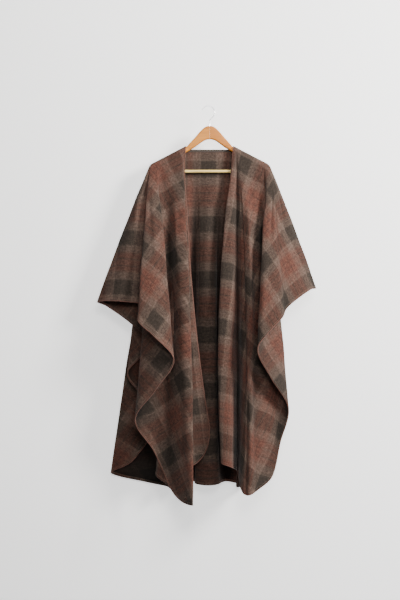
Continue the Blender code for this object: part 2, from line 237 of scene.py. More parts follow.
LEFT_BACK = (
    Fold("wing_fold", 0.157, 17.0, 20.8, 3.0, 0.004),
    Fold("wing_back", 0.153, 26.5, 9.5, 3.2, 0.000),
    Fold("wing_turn", 0.148, 39.0, -0.6, 3.6, 0.000),
    Fold("cascade_back", 0.143, 43.8, 3.4, 2.0, 0.000),
    Fold("cascade_heel", 0.138, 48.2, 6.7, 1.0, 0.002),
    Fold("cascade_under", 0.132, 52.5, 2.6, 0.0, 0.000),
    Fold("hidden_turn", 0.126, 56.5, -0.4, -0.6, 0.000),
    Fold("hidden_flank", 0.121, 61.0, 4.4, -1.4, 0.000),
    Fold("low_silhouette", 0.116, 65.3, 8.7, -2.2, 0.002),
    Fold("low_face", 0.108, 68.4, 3.2, -2.4, 0.000),
    Fold("low_turn", 0.094, 71.0, -0.4, -1.2, 0.000),
    Fold("flute_a", 0.082, 73.0, -1.1, 1.3, 0.000),
    Fold("flute_b", 0.062, 76.0, -0.2, -1.9, 0.000),
    Fold("flute_c", 0.042, 79.0, -1.0, 0.5, 0.000),
    Fold("flute_d", 0.018, 84.0, 0.1, -2.0, 0.000),
    Fold("neck_point", 0.000, 88.0, -0.9, -0.4, 0.000),
)

RIGHT_BACK = (
    Fold("wing_fold", 0.157, -9.0, 20.4, 3.0, 0.004),
    Fold("wing_back", 0.153, 5.0, 10.0, 3.1, 0.000),
    Fold("wing_turn", 0.148, 17.0, 0.6, 3.2, 0.000),
    Fold("cascade_back", 0.143, 29.0, 3.2, 1.8, 0.000),
    Fold("cascade_heel", 0.138, 40.0, 4.4, 0.8, 0.000),
    Fold("hidden_turn", 0.131, 50.0, -1.4, 0.0, 0.000),
    Fold("hidden_flank", 0.125, 57.0, 1.4, -1.0, 0.000),
    Fold("low_silhouette", 0.119, 62.5, 2.4, -2.0, 0.000),
    Fold("low_face", 0.110, 66.5, 1.2, -2.2, 0.000),
    Fold("low_turn", 0.094, 70.5, -1.4, -0.8, 0.000),
    Fold("flute_a", 0.078, 74.0, -1.0, 1.5, 0.000),
    Fold("flute_b", 0.055, 78.0, 0.0, -1.9, 0.000),
    Fold("flute_c", 0.032, 81.0, -0.7, 0.6, 0.000),
    Fold("flute_d", 0.014, 84.5, 0.2, -1.6, 0.000),
    Fold("neck_point", 0.000, 88.0, 0.6, -0.6, 0.000),
)

BACK_MIDDLE = (
    Flute("valley_left", 0.20, -0.2, -1.9),
    Flute("ridge_flank", 0.34, -0.9, 0.2),
    Flute("ridge", 0.50, -0.1, 1.2),
    Flute("ridge_side", 0.64, 0.6, 0.2),
    Flute("valley_right", 0.80, 0.5, -1.9),
)

LEFT_FRONT_CREASES = (
    Crease("wing_edge", 0.7, 0.12, 1.20, 4.0, 0.45, 0.10),
    Crease("wing_hollow", 2.1, 0.14, 1.10, -6.0, 0.45, 0.15),
    Crease("wing_middle", 1.5, 0.30, 0.85, -2.2, 0.22, 0.20),
    Crease("wing_mouth", 1.2, 0.62, 1.20, 3.0, 0.30, -0.25),
    Crease("cascade_ridge", 5.0, 0.10, 1.20, 4.0, 0.45, 0.10),
    Crease("cascade_upper", 4.5, 0.18, 0.60, -2.8, 0.24, 0.40),
    Crease("cascade_lower", 5.5, 0.55, 1.15, 2.2, 0.22, -0.30),
    Crease("lining", 7.4, 0.50, 1.15, -2.4, 0.35, 0.20),
    Crease("panel_hollow", 9.9, 0.08, 0.78, -14.0, 0.55, 0.10),
    Crease("panel_ridge", 11.3, 0.10, 1.10, 8.0, 0.50, 0.05),
    Crease("panel_short", 10.7, 0.12, 0.42, 2.4, 0.24, 0.25),
    Crease("panel_long", 9.4, 0.42, 1.02, -3.6, 0.30, 0.75),
    Crease("panel_low", 10.9, 0.58, 1.15, -3.4, 0.26, 0.30),
    Crease("shoulder", 8.6, 0.03, 0.22, -3.0, 0.70, 1.40),
    Crease("under", 14.6, 0.45, 0.95, 1.8, 0.35, 0.00),
    Crease("edge_wave", 15.7, 0.30, 0.75, 2.0, 0.30, 0.00),
)

RIGHT_FRONT_CREASES = (
    Crease("wing_upper", 0.8, 0.16, 0.62, -3.4, 0.28, 0.30),
    Crease("wing_ridge", 1.9, 0.12, 1.10, 4.6, 0.45, 0.10),
    Crease("wing_middle", 1.4, 0.35, 0.90, 2.6, 0.24, -0.20),
    Crease("cascade_upper", 3.3, 0.14, 0.52, -4.0, 0.30, 0.35),
    Crease("cascade_lower", 4.3, 0.48, 1.10, 3.0, 0.28, 0.20),
    Crease("lining", 6.4, 0.55, 1.15, -2.0, 0.35, -0.20),
    Crease("panel_hollow", 8.8, 0.08, 0.66, -18.0, 0.50, 0.10),
    Crease("panel_ridge", 10.3, 0.08, 0.66, 12.0, 0.42, 0.10),
    Crease("gap_shadow", 11.7, 0.06, 0.86, -10.0, 0.40, 0.05),
    Crease("panel_long", 9.6, 0.34, 0.98, -3.6, 0.30, 0.45),
    Crease("panel_middle", 10.5, 0.56, 1.12, 5.0, 0.30, 0.15),
    Crease("panel_low", 11.1, 0.66, 1.15, -4.6, 0.24, 0.10),
    Crease("shoulder", 9.0, 0.03, 0.20, -3.0, 0.80, 1.20),
    Crease("strip", 14.6, 0.25, 0.70, 1.6, 0.35, 0.20),
)

BACK_CREASES = (
    Crease("left_wing", 1.2, 0.15, 0.70, 3.6, 0.35, 0.30),
    Crease("left_wing_low", 1.8, 0.50, 1.15, -3.4, 0.30, -0.20),
    Crease("left_cascade", 4.5, 0.30, 1.15, 2.0, 0.40, 0.30),
    Crease("left_low", 9.3, 0.45, 1.15, -4.0, 0.45, 0.40),
    Crease("left_panel", 10.6, 0.25, 0.80, 3.6, 0.35, -0.30),
    Crease("left_flute", 12.5, 0.35, 1.15, -3.2, 0.35, 0.25),
    Crease("valley_left", 15.7, 0.08, 1.15, 12.0, 0.45, 0.05),
    Crease("centre_ridge", 17.8, 0.05, 1.20, -9.0, 0.60, 0.10),
    Crease("centre_fine", 16.5, 0.12, 0.60, 3.4, 0.20, 0.20),
    Crease("valley_right", 19.3, 0.06, 1.15, 17.0, 0.52, 0.10),
    Crease("right_flute", 24.0, 0.30, 1.15, 3.0, 0.35, -0.25),
    Crease("right_panel", 26.2, 0.22, 0.72, -3.6, 0.40, 0.35),
    Crease("right_low", 28.0, 0.50, 1.15, 3.2, 0.40, 0.20),
    Crease("right_cascade", 31.4, 0.35, 1.15, -2.2, 0.40, -0.20),
    Crease("right_wing", 34.2, 0.20, 0.80, 3.4, 0.35, 0.20),
)


# Small numeric helpers


def glide(values: Sequence[float], places: np.ndarray) -> np.ndarray:
    """Read a smooth curve through evenly numbered values.

    Args:
        values: The values at places 0, 1, 2 and on.
        places: Fractional places to read.

    Returns:
        The value at each place.
    """
    table = np.asarray(values, dtype=float)
    last = len(table) - 1
    index = np.minimum(places.astype(int), last - 1)
    share = places - index
    before, here = table[np.maximum(index - 1, 0)], table[index]
    after, beyond = table[index + 1], table[np.minimum(index + 2, last)]
    slope_here, slope_after = (after - before) / 2, (beyond - here) / 2
    square = share * share
    cube = square * share
    return (here * (2 * cube - 3 * square + 1) + slope_here * (cube - 2 * square + share)
            + after * (3 * square - 2 * cube) + slope_after * (cube - square))


def ease(value: np.ndarray | float) -> np.ndarray:
    """Rise smoothly from 0 to 1."""
    held = np.clip(value, 0.0, 1.0)
    return held * held * (3 - 2 * held)


def ridge_point(along: np.ndarray | float, side: int) -> np.ndarray:
    """Return the top of the cloth over an arm at each distance from the neck point.

    Args:
        along: Distance from the neck point along the cloth's top line.
        side: -1 for the left arm, 1 for the right.

    Returns:
        The points, one for each distance.
    """
    along = np.asarray(along, dtype=float)
    slope = HANGER.arm_slope
    straight = np.minimum(along, HANGER.ridge_straight)
    turned = np.maximum(along - HANGER.ridge_straight, 0.0) / HANGER.ridge_round
    out = HANGER.neck_half + straight * math.cos(slope)
    out = out + HANGER.ridge_round * (np.sin(slope + turned) - math.sin(slope))
    down = straight * math.sin(slope)
    down = down + HANGER.ridge_round * (math.cos(slope) - np.cos(slope + turned))
    return np.stack([HANGER.stem_x + side * out, np.zeros_like(out), HANGER.neck_z - down], axis=-1)


def headings(lean: np.ndarray, fore: np.ndarray, side: int) -> np.ndarray:
    """Return the unit directions of ribs that lean outwards and forwards from plumb.

    Args:
        lean: Degrees outwards from plumb.
        fore: Degrees forwards from plumb.
        side: -1 for the left half, 1 for the right.

    Returns:
        One unit vector for each rib.
    """
    across, ahead = np.tan(np.radians(lean)), np.tan(np.radians(fore))
    way = np.stack([side * across, -ahead, -np.ones_like(across)], axis=-1)
    return way / np.linalg.norm(way, axis=-1, keepdims=True)


# The cloth


@dataclass
class Ribs:
    """A row of ribs, each an entry in every array."""

    start: np.ndarray
    heading: np.ndarray
    fan: np.ndarray
    length: np.ndarray
    bow: np.ndarray
    over: np.ndarray
    skip: np.ndarray
    along: np.ndarray
    angle: np.ndarray
    weft: np.ndarray
    places: np.ndarray

    def joined(self, others: Sequence[Ribs]) -> Ribs:
        """Return these ribs followed by others.

        Args:
            others: The rows that follow.

        Returns:
            All the ribs in one row.
        """
        rows = [self, *others]
        return Ribs(*(np.concatenate([getattr(row, name) for row in rows]) for name in
                      self.__dataclass_fields__))

    def turned_round(self, last_place: float) -> Ribs:
        """Return the ribs in the opposite order, with places counted down from last_place.

        Args:
            last_place: The place that the first rib's place is taken from.

        Returns:
            The turned row.
        """
        turned = Ribs(*(getattr(self, name)[::-1] for name in self.__dataclass_fields__))
        turned.places = last_place - turned.places
        return turned


@dataclass(frozen=True)
class Cut:
    """The cut edge of one panel in the flat cloth, measured from the neck point."""

    width: float
    length: float
    corner_side: float
    corner_down: float
    slit_radius: float

    def reach(self, along: np.ndarray, angle: np.ndarray) -> np.ndarray:
        """Return each rib's length from the ridge to the cut edge.

        Args:
            along: Where each rib starts on the arm, from the neck point.
            angle: Each rib's angle in the flat cloth, in radians.

        Returns:
            The lengths.
        """
        out, down = np.cos(angle), np.sin(angle)
        near, far = np.zeros_like(along), np.full_like(along, 2.5)
        for _ in range(40):
            middle = (near + far) / 2
            across, drop = along + middle * out, middle * down
            past = (across > self.width) | (drop > self.length)
            sideways = (across - self.width + self.corner_side) / self.corner_side
            lower = (drop - self.length + self.corner_down) / self.corner_down
            past |= (sideways > 0) & (lower > 0) & (np.hypot(sideways, lower) > 1)
            if self.slit_radius:
                radius = self.slit_radius
                inside, under = across - radius, drop - self.length + radius
                past |= (inside < 0) & (under > 0) & (np.hypot(inside, under) > radius)
            far, near = np.where(past, middle, far), np.where(past, near, middle)
        return near


def half_ribs(rows: Sequence[Fold], count: int, side: Side, cut: Cut, hang: Hang,
              weft_phase: tuple[float, float]) -> Ribs:
    """Return the ribs of a front, or of one half of the back, from its wing to the neck.

    Args:
        rows: The fold table.
        count: How many ribs.
        side: Which half of the cape.
        cut: The panel's cut edge.
        hang: Front or back.
        weft_phase: Where a dark stripe starts, out from the neck point, at the wing and the neck.

    Returns:
        The ribs.
    """
    places = np.linspace(0, len(rows) - 1, count)
    along = np.maximum(glide([row.along for row in rows], places), 0.0)
    angle = np.radians(glide([row.cloth for row in rows], places))
    fore = glide([row.fore for row in rows], places)
    lean = glide([row.lean for row in rows], places)
    spread = np.maximum(1 - places / (len(rows) - 1) / CLOTH.fan_share, 0.0) ** 1.5
    behind = hang is Hang.BACK
    skip = OVER_TURN * ease(1 - along / CLOTH.neck_slant) if behind else np.zeros(count)
    return Ribs(ridge_point(along, side.value), headings(lean, fore, side.value),
                headings(rows[0].lean * spread, fore, side.value), cut.reach(along, angle),
                side.value * glide([row.bow for row in rows], places),
                ease(places / CLOTH.round_end), skip, along, angle,
                np.linspace(weft_phase[0], weft_phase[1], count), places)


def middle_ribs(count: int, first_place: float) -> Ribs:
    """Return the ribs of the back that hang from the neck line, left to right.

    Args:
        count: How many equal shares the neck line is cut into.
        first_place: The place of the left neck point.

    Returns:
        The ribs between the neck points.
    """
    first, last = LEFT_BACK[-1], RIGHT_BACK[-1]
    steps = len(BACK_MIDDLE) + 1
    places = np.arange(1, count) * steps / count
    share = glide([0.0, *(row.across for row in BACK_MIDDLE), 1.0], places)
    lean = glide([-first.lean, *(row.lean for row in BACK_MIDDLE), last.lean], places)
    fore = glide([first.fore, *(row.fore for row in BACK_MIDDLE), last.fore], places)
    left, right = ridge_point(0.0, -1), ridge_point(0.0, 1)
    way = headings(lean, fore, 1)
    some = np.ones(count - 1)
    start = left + (right - left) * share[:, None]
    return Ribs(start, way, way, some * CLOTH.back, some * 0, some, some * OVER_TURN, some * 0,
                some * math.pi / 2, start[:, 0] * -1, first_place + places)


@dataclass(frozen=True)
class Plaid:
    """The plaid's repeats across and along the cloth."""

    weft_repeat: float = 0.180
    warp_repeat: float = 0.1994


@dataclass
class ClothPanel:
    """One panel of the cape as a thin closed shell, with its hem, rolled edge and stitches."""

    name: str
    node: str
    slot: str
    ribs: Ribs
    hang: Hang
    outward: float
    steps: int
    creases: Sequence[Crease]
    warp_phase: float
    rests_on: tuple[str, ...]
    free_side: bool
    pieces: list[bpy.types.Object] = field(default_factory=list)

    def distances(self) -> np.ndarray:
        """Return how far down each rib the shell's points lie: closer together over the arm.

        Returns:
            One row of distances for each rib.
        """
        share = np.linspace(0, 1, self.steps)
        first, turn = OVER_TURN + CLOTH.near_rest, CLOTH.near_steps
        near = np.minimum(share * self.steps, turn) / turn * first
        far = np.maximum(share - turn / self.steps, 0) / (1 - turn / self.steps)
        skip = self.ribs.skip[:, None]
        length = self.ribs.length[:, None]
        down = np.where(share * self.steps <= turn, near, first + (length - first) * far)
        return skip + down * (1 - skip / length)

    def middle(self, down: np.ndarray) -> np.ndarray:
        """Return the middle of the cloth at distances down the ribs, without creases.

        Args:
            down: Distances down each rib.

        Returns:
            The points.
        """
        ribs = self.ribs
        turned = np.minimum(down / CLOTH.over_arm, math.pi / 2)
        gather = ease(down / CLOTH.gather_drop)[..., None]
        way = ribs.fan[:, None] * (1 - gather) + ribs.heading[:, None] * gather
        start = ribs.start[:, None]
        plain = start + way * down[..., None]
        bent = start + way * (down - turned * CLOTH.over_arm)[..., None]
        bent[..., 1] += self.hang.value * CLOTH.over_arm * np.sin(turned)
        bent[..., 2] -= CLOTH.over_arm * (1 - np.cos(turned))
        over = ribs.over[:, None, None]
        point = plain * (1 - over) + bent * over
        share = down / ribs.length[:, None]
        point[..., 0] += ribs.bow[:, None] * 4 * share * (1 - share)
        point[..., 1] += self.hang.value * (1 - ribs.over[:, None]) * CLOTH.thick / 2
        return point

    def normals(self, points: np.ndarray) -> np.ndarray:
        """Return the outside's unit normal at each point of a grid.

        Args:
            points: A grid of points, one row for each rib.

        Returns:
            The unit normals.
        """
        across = np.gradient(points, axis=0)
        down = np.gradient(points, axis=1)
        normal = np.cross(across, down)
        size = np.linalg.norm(normal, axis=-1, keepdims=True)
        return self.outward * normal / np.maximum(size, 1e-12)

    def crease_heights(self, down: np.ndarray) -> np.ndarray:
        """Return how far the creases and the cloth's own unevenness lift each point.

        Args:
            down: Distances down each rib.

        Returns:
            The heights, + on the outside.
        """
        share = down / self.ribs.length[:, None]
        place = self.ribs.places[:, None]
        height = np.zeros_like(share)
        for crease in self.creases:
            run = (share - crease.top) / (crease.bottom - crease.top)
            window = ease(run * 3) * ease((1 - run) * 3)
            centre = crease.place + crease.drift * run
            lift = crease.depth * MILLIMETRE * window
            height += lift * np.exp(-((place - centre) / crease.width) ** 2)
        weft, warp = self.flat_places(down)
        height += 0.5 * MILLIMETRE * np.sin(weft * 41 + 1.7 * np.sin(warp * 9)) * ease(share * 5)
        height += 0.4 * MILLIMETRE * np.sin(warp * 33 + 2.1 * np.sin(weft * 12 + 0.6)) * ease(share * 5)
        return height

    def flat_places(self, down: np.ndarray) -> tuple[np.ndarray, np.ndarray]:
        """Return each point's place in the flat cloth, from its stripes' own starts.

        Args:
            down: Distances down each rib.

        Returns:
            The places across and along the cloth.
        """
        angle = self.ribs.angle[:, None]
        weft = self.ribs.along[:, None] + down * np.cos(angle) - self.ribs.weft[:, None]
        return weft, down * np.sin(angle) - self.warp_phase

    def surface(self, down: np.ndarray) -> tuple[np.ndarray, np.ndarray]:
        """Return the creased middle of the cloth and its outside normals.

        Args:
            down: Distances down each rib.

        Returns:
            The points and their normals.
        """
        plain = self.middle(down)
        lifted = plain + self.normals(plain) * self.crease_heights(down)[..., None]
        return lifted, self.normals(lifted)

    def build(self, finish: bpy.types.Material) -> bpy.types.Object:
        """Build the shell and name it as the sheet that stands for its solid.

        Args:
            finish: Its material.

        Returns:
            The shell.
        """
        down = self.distances()
        points, normals = self.surface(down)
        weft, warp = self.flat_places(down)
        half = CLOTH.thick / 2
        item = wall(self.name, points + normals * half, points - normals * half, finish,
                    np.stack([weft, warp], axis=-1))
        # Painted shade: how deep each point lies in a fold valley, stored on the mesh to darken the
        # wool's colour there.
        hollow = self.hollows(points, normals).reshape(-1)
        layer = item.data.attributes.new("hollow", "FLOAT", "POINT")
        both = np.concatenate([np.maximum(hollow, 0.0), np.maximum(-hollow, 0.0)])
        layer.data.foreach_set("value", both.astype(np.float32))
        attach(item, "root")
        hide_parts(self.node)
        return item

    def hollows(self, points: np.ndarray, normals: np.ndarray) -> np.ndarray:
        """Return how far each point lies in a valley of the outside, from -1 to 1, as the mask for
        painted shade in the folds.

        Args:
            points: The cloth's middle.
            normals: Its outside normals.

        Returns:
            The share of a full hollow at each point.
        """
        soft = points
        for axis, reach in ((0, 9), (0, 9), (1, 3)):
            pad = [(0, 0)] * 3
            pad[axis] = (reach, reach)
            padded = np.pad(soft, pad, mode="edge")
            size = soft.shape[axis]
            soft = sum(np.take(padded, range(start, start + size), axis=axis)
                       for start in range(2 * reach + 1)) / (2 * reach + 1)
        return np.clip(np.sum((soft - points) * normals, axis=-1) / PAINTED_SHADE_DEPTH, -1.0, 1.0)

    def edge_path(self, inset: float, lift: float) -> np.ndarray:
        """Return a line that follows the free edges, set in from them and lifted off the cloth.

        Args:
            inset: Distance inside the cut edge.
            lift: Height over the middle of the cloth, + on the outside.

        Returns:
            The line's points, from the wing along the hem and up the front edge if it has one.
        """
        down = self.ribs.length[:, None] - inset - np.array([[0.004, 0.0]])
        points, normals = self.surface(down)
        path = (points + normals * lift)[:, 1]
        if not self.free_side:
            return path
        down = self.distances()
        points, normals = self.surface(down)
        lifted = points + normals * lift
        toward = lifted[-3] - lifted[-1]
        toward /= np.linalg.norm(toward, axis=-1, keepdims=True)
        side = (lifted[-1] + toward * inset)[::-1]
        keep = down[-1][::-1] < self.ribs.length[-1] - inset - 0.006
        return np.concatenate([path, side[keep]])

    def hem(self, finish: bpy.types.Material) -> bpy.types.Object:
        """Build the turned hem on the cloth's wrong side.

        Args:
            finish: Its material.

        Returns:
            The hem.
        """
        inset = np.array([[CLOTH.hem, CLOTH.hem * 0.66, CLOTH.hem * 0.33, 0.0004]])
        down = self.ribs.length[:, None] - inset
        points, normals = self.surface(down)
        near = -(CLOTH.thick / 2 + 0.0001)
        far = near - CLOTH.hem_thick
        weft, warp = self.flat_places(down)
        item = wall(self.name + "_hem", points + normals * near, points + normals * far, finish,
                    np.stack([weft, warp], axis=-1))
        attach(item, "root")
        self.pieces.append(item)
        return item

    def cut_size(self) -> tuple[tuple[float, float], float]:
        """Return the panel's flat width and length, and its flat area between its ribs.

        Returns:
            The width and length, then the area.
        """
        ribs = self.ribs
        ends = np.stack([ribs.along + ribs.length * np.cos(ribs.angle),
                         ribs.length * np.sin(ribs.angle)], axis=-1)
        starts = np.stack([ribs.along, np.zeros_like(ribs.along)], axis=-1)
        area = width = 0.0
        for half, middle in self.halves():
            outline = np.concatenate([starts[half], ends[half][::-1]])
            following = np.roll(outline, -1, axis=0)
            area += abs(np.sum(outline[:, 0] * following[:, 1] - following[:, 0] * outline[:, 1])) / 2
            width += ends[half][:, 0].max()
            if middle:
                area += middle * CLOTH.back
                width += middle
        return (float(width), float(ends[:, 1].max() - min(ends[:, 1].min(), 0.0))), float(area)

    def halves(self) -> list[tuple[slice, float]]:
        """Return the ribs on each side of the neck, and half the neck's width there.

        Returns:
            A slice of the ribs and a width for each half; the width is 0 on a front.
        """
        if self.hang is Hang.FRONT:
            return [(slice(None), 0.0)]
        count = len(self.ribs.along)
        side = int(np.sum(self.ribs.places <= len(LEFT_BACK) - 1))
        return [(slice(0, side), HANGER.neck_half), (slice(count - side, count), HANGER.neck_half)]

    def declare(self, shell: bpy.types.Object) -> None:
        """State the sheet's cut: its flat width, length and area.

        Args:
            shell: Not used.
        """
        flat, area = self.cut_size()
        LOG.info("%s: cut %.3f x %.3f m, %.3f m2", self.name, *flat, area)


# Meshes


def new_object(name: str, mesh: bpy.types.Mesh, finish: bpy.types.Material | None,
               sharp: float | None = None) -> bpy.types.Object:
    """Link a mesh to the scene as one object with one finish.

    Args:
        name: The object's name.
        mesh: Its mesh.
        finish: Its material, or None to keep the mesh's own.
        sharp: The angle in degrees past which an edge is sharp, or None.

    Returns:
        The object.
    """
    if finish is not None:
        mesh.materials.clear()
        mesh.materials.append(finish)
    mesh.shade_smooth()
    if sharp is not None:
        mesh.set_sharp_from_angle(angle=math.radians(sharp))
    item = bpy.data.objects.new(name, mesh)
    bpy.context.scene.collection.objects.link(item)
    return item


def wall(name: str, outer: np.ndarray, inner: np.ndarray, finish: bpy.types.Material,
         flat: np.ndarray) -> bpy.types.Object:
    """Close two grids of points into one shell that carries its place in the flat cloth.

    Args:
        name: The object's name.
        outer: One grid of points.
        inner: The grid behind it.
        finish: Its material.
        flat: Each point's place in the flat cloth.

    Returns:
        The shell.
    """
    rows, steps = outer.shape[:2]
    number = np.arange(rows * steps).reshape(rows, steps)
    quads = np.stack([number[:-1, :-1], number[:-1, 1:], number[1:, 1:], number[1:, :-1]], axis=-1)
    front = quads.reshape(-1, 4)
    rear = front[:, ::-1] + rows * steps
    ring = np.concatenate([number[:, 0], number[-1, 1:], number[-2::-1, -1], number[0, -2:0:-1]])
    following = np.roll(ring, -1)
    rim = np.stack([ring, ring + rows * steps, following + rows * steps, following], axis=-1)
    faces = np.concatenate([front, rear, rim])
    mesh = bpy.data.meshes.new(name)
    mesh.from_pydata(np.concatenate([outer.reshape(-1, 3), inner.reshape(-1, 3)]).tolist(), [],
                     faces.tolist())
    places = np.concatenate([flat.reshape(-1, 2)] * 2)
    layer = mesh.uv_layers.new(name="cloth")
    layer.data.foreach_set("uv", places[faces.reshape(-1)].reshape(-1).astype(np.float32))
    tidy = bmesh.new()
    tidy.from_mesh(mesh)
    bmesh.ops.recalc_face_normals(tidy, faces=tidy.faces[:])
    tidy.to_mesh(mesh)
    tidy.free()
    return new_object(name, mesh, finish, 60.0)


def tube(name: str, path: np.ndarray, radius: float, finish: bpy.types.Material, sides: int = 8,
         flat: float = 1.0) -> bpy.types.Object:
    """Sweep a round or flattened section along a path, with closed ends.

    Args:
        name: The object's name.
        path: Points of the centre line.
        radius: The section's radius.
        finish: Its material.
        sides: Corners of the section.
        flat: The section's height over its width.

    Returns:
        The swept object.
    """
    along = np.gradient(path, axis=0)
    along /= np.linalg.norm(along, axis=1, keepdims=True)
    one = np.cross(along, np.array([0.0, 1.0, 0.0]))
    one /= np.maximum(np.linalg.norm(one, axis=1, keepdims=True), 1e-9)
    two = np.cross(along, one)
    turn = np.arange(sides) * 2 * math.pi / sides
    ring = one[:, None] * np.cos(turn)[:, None] + two[:, None] * np.sin(turn)[:, None] * flat
    points = path[:, None] + ring * radius
    count = len(path)
    number = np.arange(count * sides).reshape(count, sides)
    after = np.roll(number, -1, axis=1)
    quads = np.stack([number[:-1], after[:-1], after[1:], number[1:]], axis=-1).reshape(-1, 4)
    faces = quads.tolist() + [number[0][::-1].tolist(), number[-1].tolist()]
    mesh = bpy.data.meshes.new(name)
    mesh.from_pydata(points.reshape(-1, 3).tolist(), [], faces)
    return new_object(name, mesh, finish, 50.0)


# Stitches, repeated by Geometry Nodes along a line


@dataclass(frozen=True)
class StitchSizes:
    """A row of stitches."""

    spacing: float = 0.0042
    length: float = 0.0030
    thick: float = 0.0007


def stitch_group(finish: bpy.types.Material) -> bpy.types.NodeTree:
    """Return the node group that lays stitches along a line.

    Args:
        finish: The thread's material.

    Returns:
        The group, with the stitches' sizes as inputs.
    """
    group = bpy.data.node_groups.new("stitches_on_line", "GeometryNodeTree")
    face = group.interface
    face.new_socket("Geometry", in_out="INPUT", socket_type="NodeSocketGeometry")
    for name, value in (("Spacing", 0.004), ("Length", 0.003), ("Thickness", 0.0007)):
        socket = face.new_socket(name, in_out="INPUT", socket_type="NodeSocketFloat")
        socket.default_value = value
    face.new_socket("Geometry", in_out="OUTPUT", socket_type="NodeSocketGeometry")
    nodes, links = group.nodes, group.links
    start = nodes.new("NodeGroupInput")
    end = nodes.new("NodeGroupOutput")
    line = nodes.new("GeometryNodeMeshToCurve")
    spaced = nodes.new("GeometryNodeResampleCurve")
    spaced.mode = "LENGTH"
    stitch = nodes.new("GeometryNodeMeshIcoSphere")
    stitch.inputs["Subdivisions"].default_value = 1
    stitch.inputs["Radius"].default_value = 0.5
    shape = nodes.new("ShaderNodeCombineXYZ")
    tangent = nodes.new("GeometryNodeInputTangent")
    turn = nodes.new("FunctionNodeAlignRotationToVector")
    turn.axis = "Z"
    place = nodes.new("GeometryNodeInstanceOnPoints")
    real = nodes.new("GeometryNodeRealizeInstances")
    paint = nodes.new("GeometryNodeSetMaterial")
    paint.inputs["Material"].default_value = finish
    for axis, name in zip("XYZ", ("Thickness", "Thickness", "Length")):
        links.new(start.outputs[name], shape.inputs[axis])
    for source, output, target, entry in (
            (start, "Geometry", line, "Mesh"), (line, "Curve", spaced, "Curve"),
            (start, "Spacing", spaced, "Length"), (tangent, "Tangent", turn, "Vector"),
            (spaced, "Curve", place, "Points"), (stitch, "Mesh", place, "Instance"),
            (turn, "Rotation", place, "Rotation"), (shape, "Vector", place, "Scale"),
            (place, "Instances", real, "Geometry"), (real, "Geometry", paint, "Geometry"),
            (paint, "Geometry", end, "Geometry")):
        links.new(source.outputs[output], target.inputs[entry])
    return group


def laid_out(item: bpy.types.Object) -> bpy.types.Object:
    """Turn an object with modifiers into a plain mesh of the same name.

    Args:
        item: The object, which is removed.

    Returns:
        The plain object.
    """
    graph = bpy.context.evaluated_depsgraph_get()
    mesh = bpy.data.meshes.new_from_object(item.evaluated_get(graph))
    name = item.name
    bpy.data.objects.remove(item, do_unlink=True)
    plain = bpy.data.objects.new(name, mesh)
    bpy.context.scene.collection.objects.link(plain)
    mesh.shade_smooth()
    return plain


def stitches(name: str, path: np.ndarray, group: bpy.types.NodeTree,
             sizes: StitchSizes) -> bpy.types.Object:
    """Lay a row of stitches along a path.

    Args:
        name: The object's name.
        path: Points of the line.
        group: The node group that lays them.
        sizes: The stitches' sizes.

    Returns:
        The row of stitches.
    """
    mesh = bpy.data.meshes.new(name)
    count = len(path)
    mesh.from_pydata(path.tolist(), [(number, number + 1) for number in range(count - 1)], [])
    item = bpy.data.objects.new(name, mesh)
    bpy.context.scene.collection.objects.link(item)
    modifier = item.modifiers.new("stitches", "NODES")
    modifier.node_group = group
    values = {"Spacing": sizes.spacing, "Length": sizes.length, "Thickness": sizes.thick}
    for socket in group.interface.items_tree:
        if socket.in_out == "INPUT" and socket.name in values:
            modifier[socket.identifier] = values[socket.name]
    return laid_out(item)


# Materials


class Wire:
    """A socket in a shader, with arithmetic that adds the nodes."""

    def __init__(self, tree: bpy.types.NodeTree, socket: bpy.types.NodeSocket) -> None:
        """Wrap a socket of a tree."""
        self.tree = tree
        self.socket = socket

    def math(self, operation: str, other: Wire | float | None = None,
             third: Wire | float | None = None, clamp: bool = False) -> Wire:
        """Apply a Math node to this value.

        Args:
            operation: The node's operation.
            other: The second value.
            third: The third value.
            clamp: Hold the result between 0 and 1.

        Returns:
            The result.
        """
        node = self.tree.nodes.new("ShaderNodeMath")
        node.operation = operation
        node.use_clamp = clamp
        for index, value in enumerate((self, other, third)):
            if isinstance(value, Wire):
                self.tree.links.new(value.socket, node.inputs[index])
            elif value is not None:
                node.inputs[index].default_value = value
        return Wire(self.tree, node.outputs[0])

    def __add__(self, other: Wire | float) -> Wire:
        """Add."""
        return self.math("ADD", other)

    def __radd__(self, other: float) -> Wire:
        """Add to a number."""
        return self.math("ADD", other)

    def __sub__(self, other: Wire | float) -> Wire:
        """Take away."""
        return self.math("SUBTRACT", other)

    def __rsub__(self, other: float) -> Wire:
        """Take away from a number."""
        return self.math("MULTIPLY", -1.0) + other

    def __mul__(self, other: Wire | float) -> Wire:
        """Multiply."""
        return self.math("MULTIPLY", other)

    def __rmul__(self, other: float) -> Wire:
        """Multiply a number."""
        return self.math("MULTIPLY", other)

    def __truediv__(self, other: Wire | float) -> Wire:
        """Divide."""
        return self.math("DIVIDE", other)


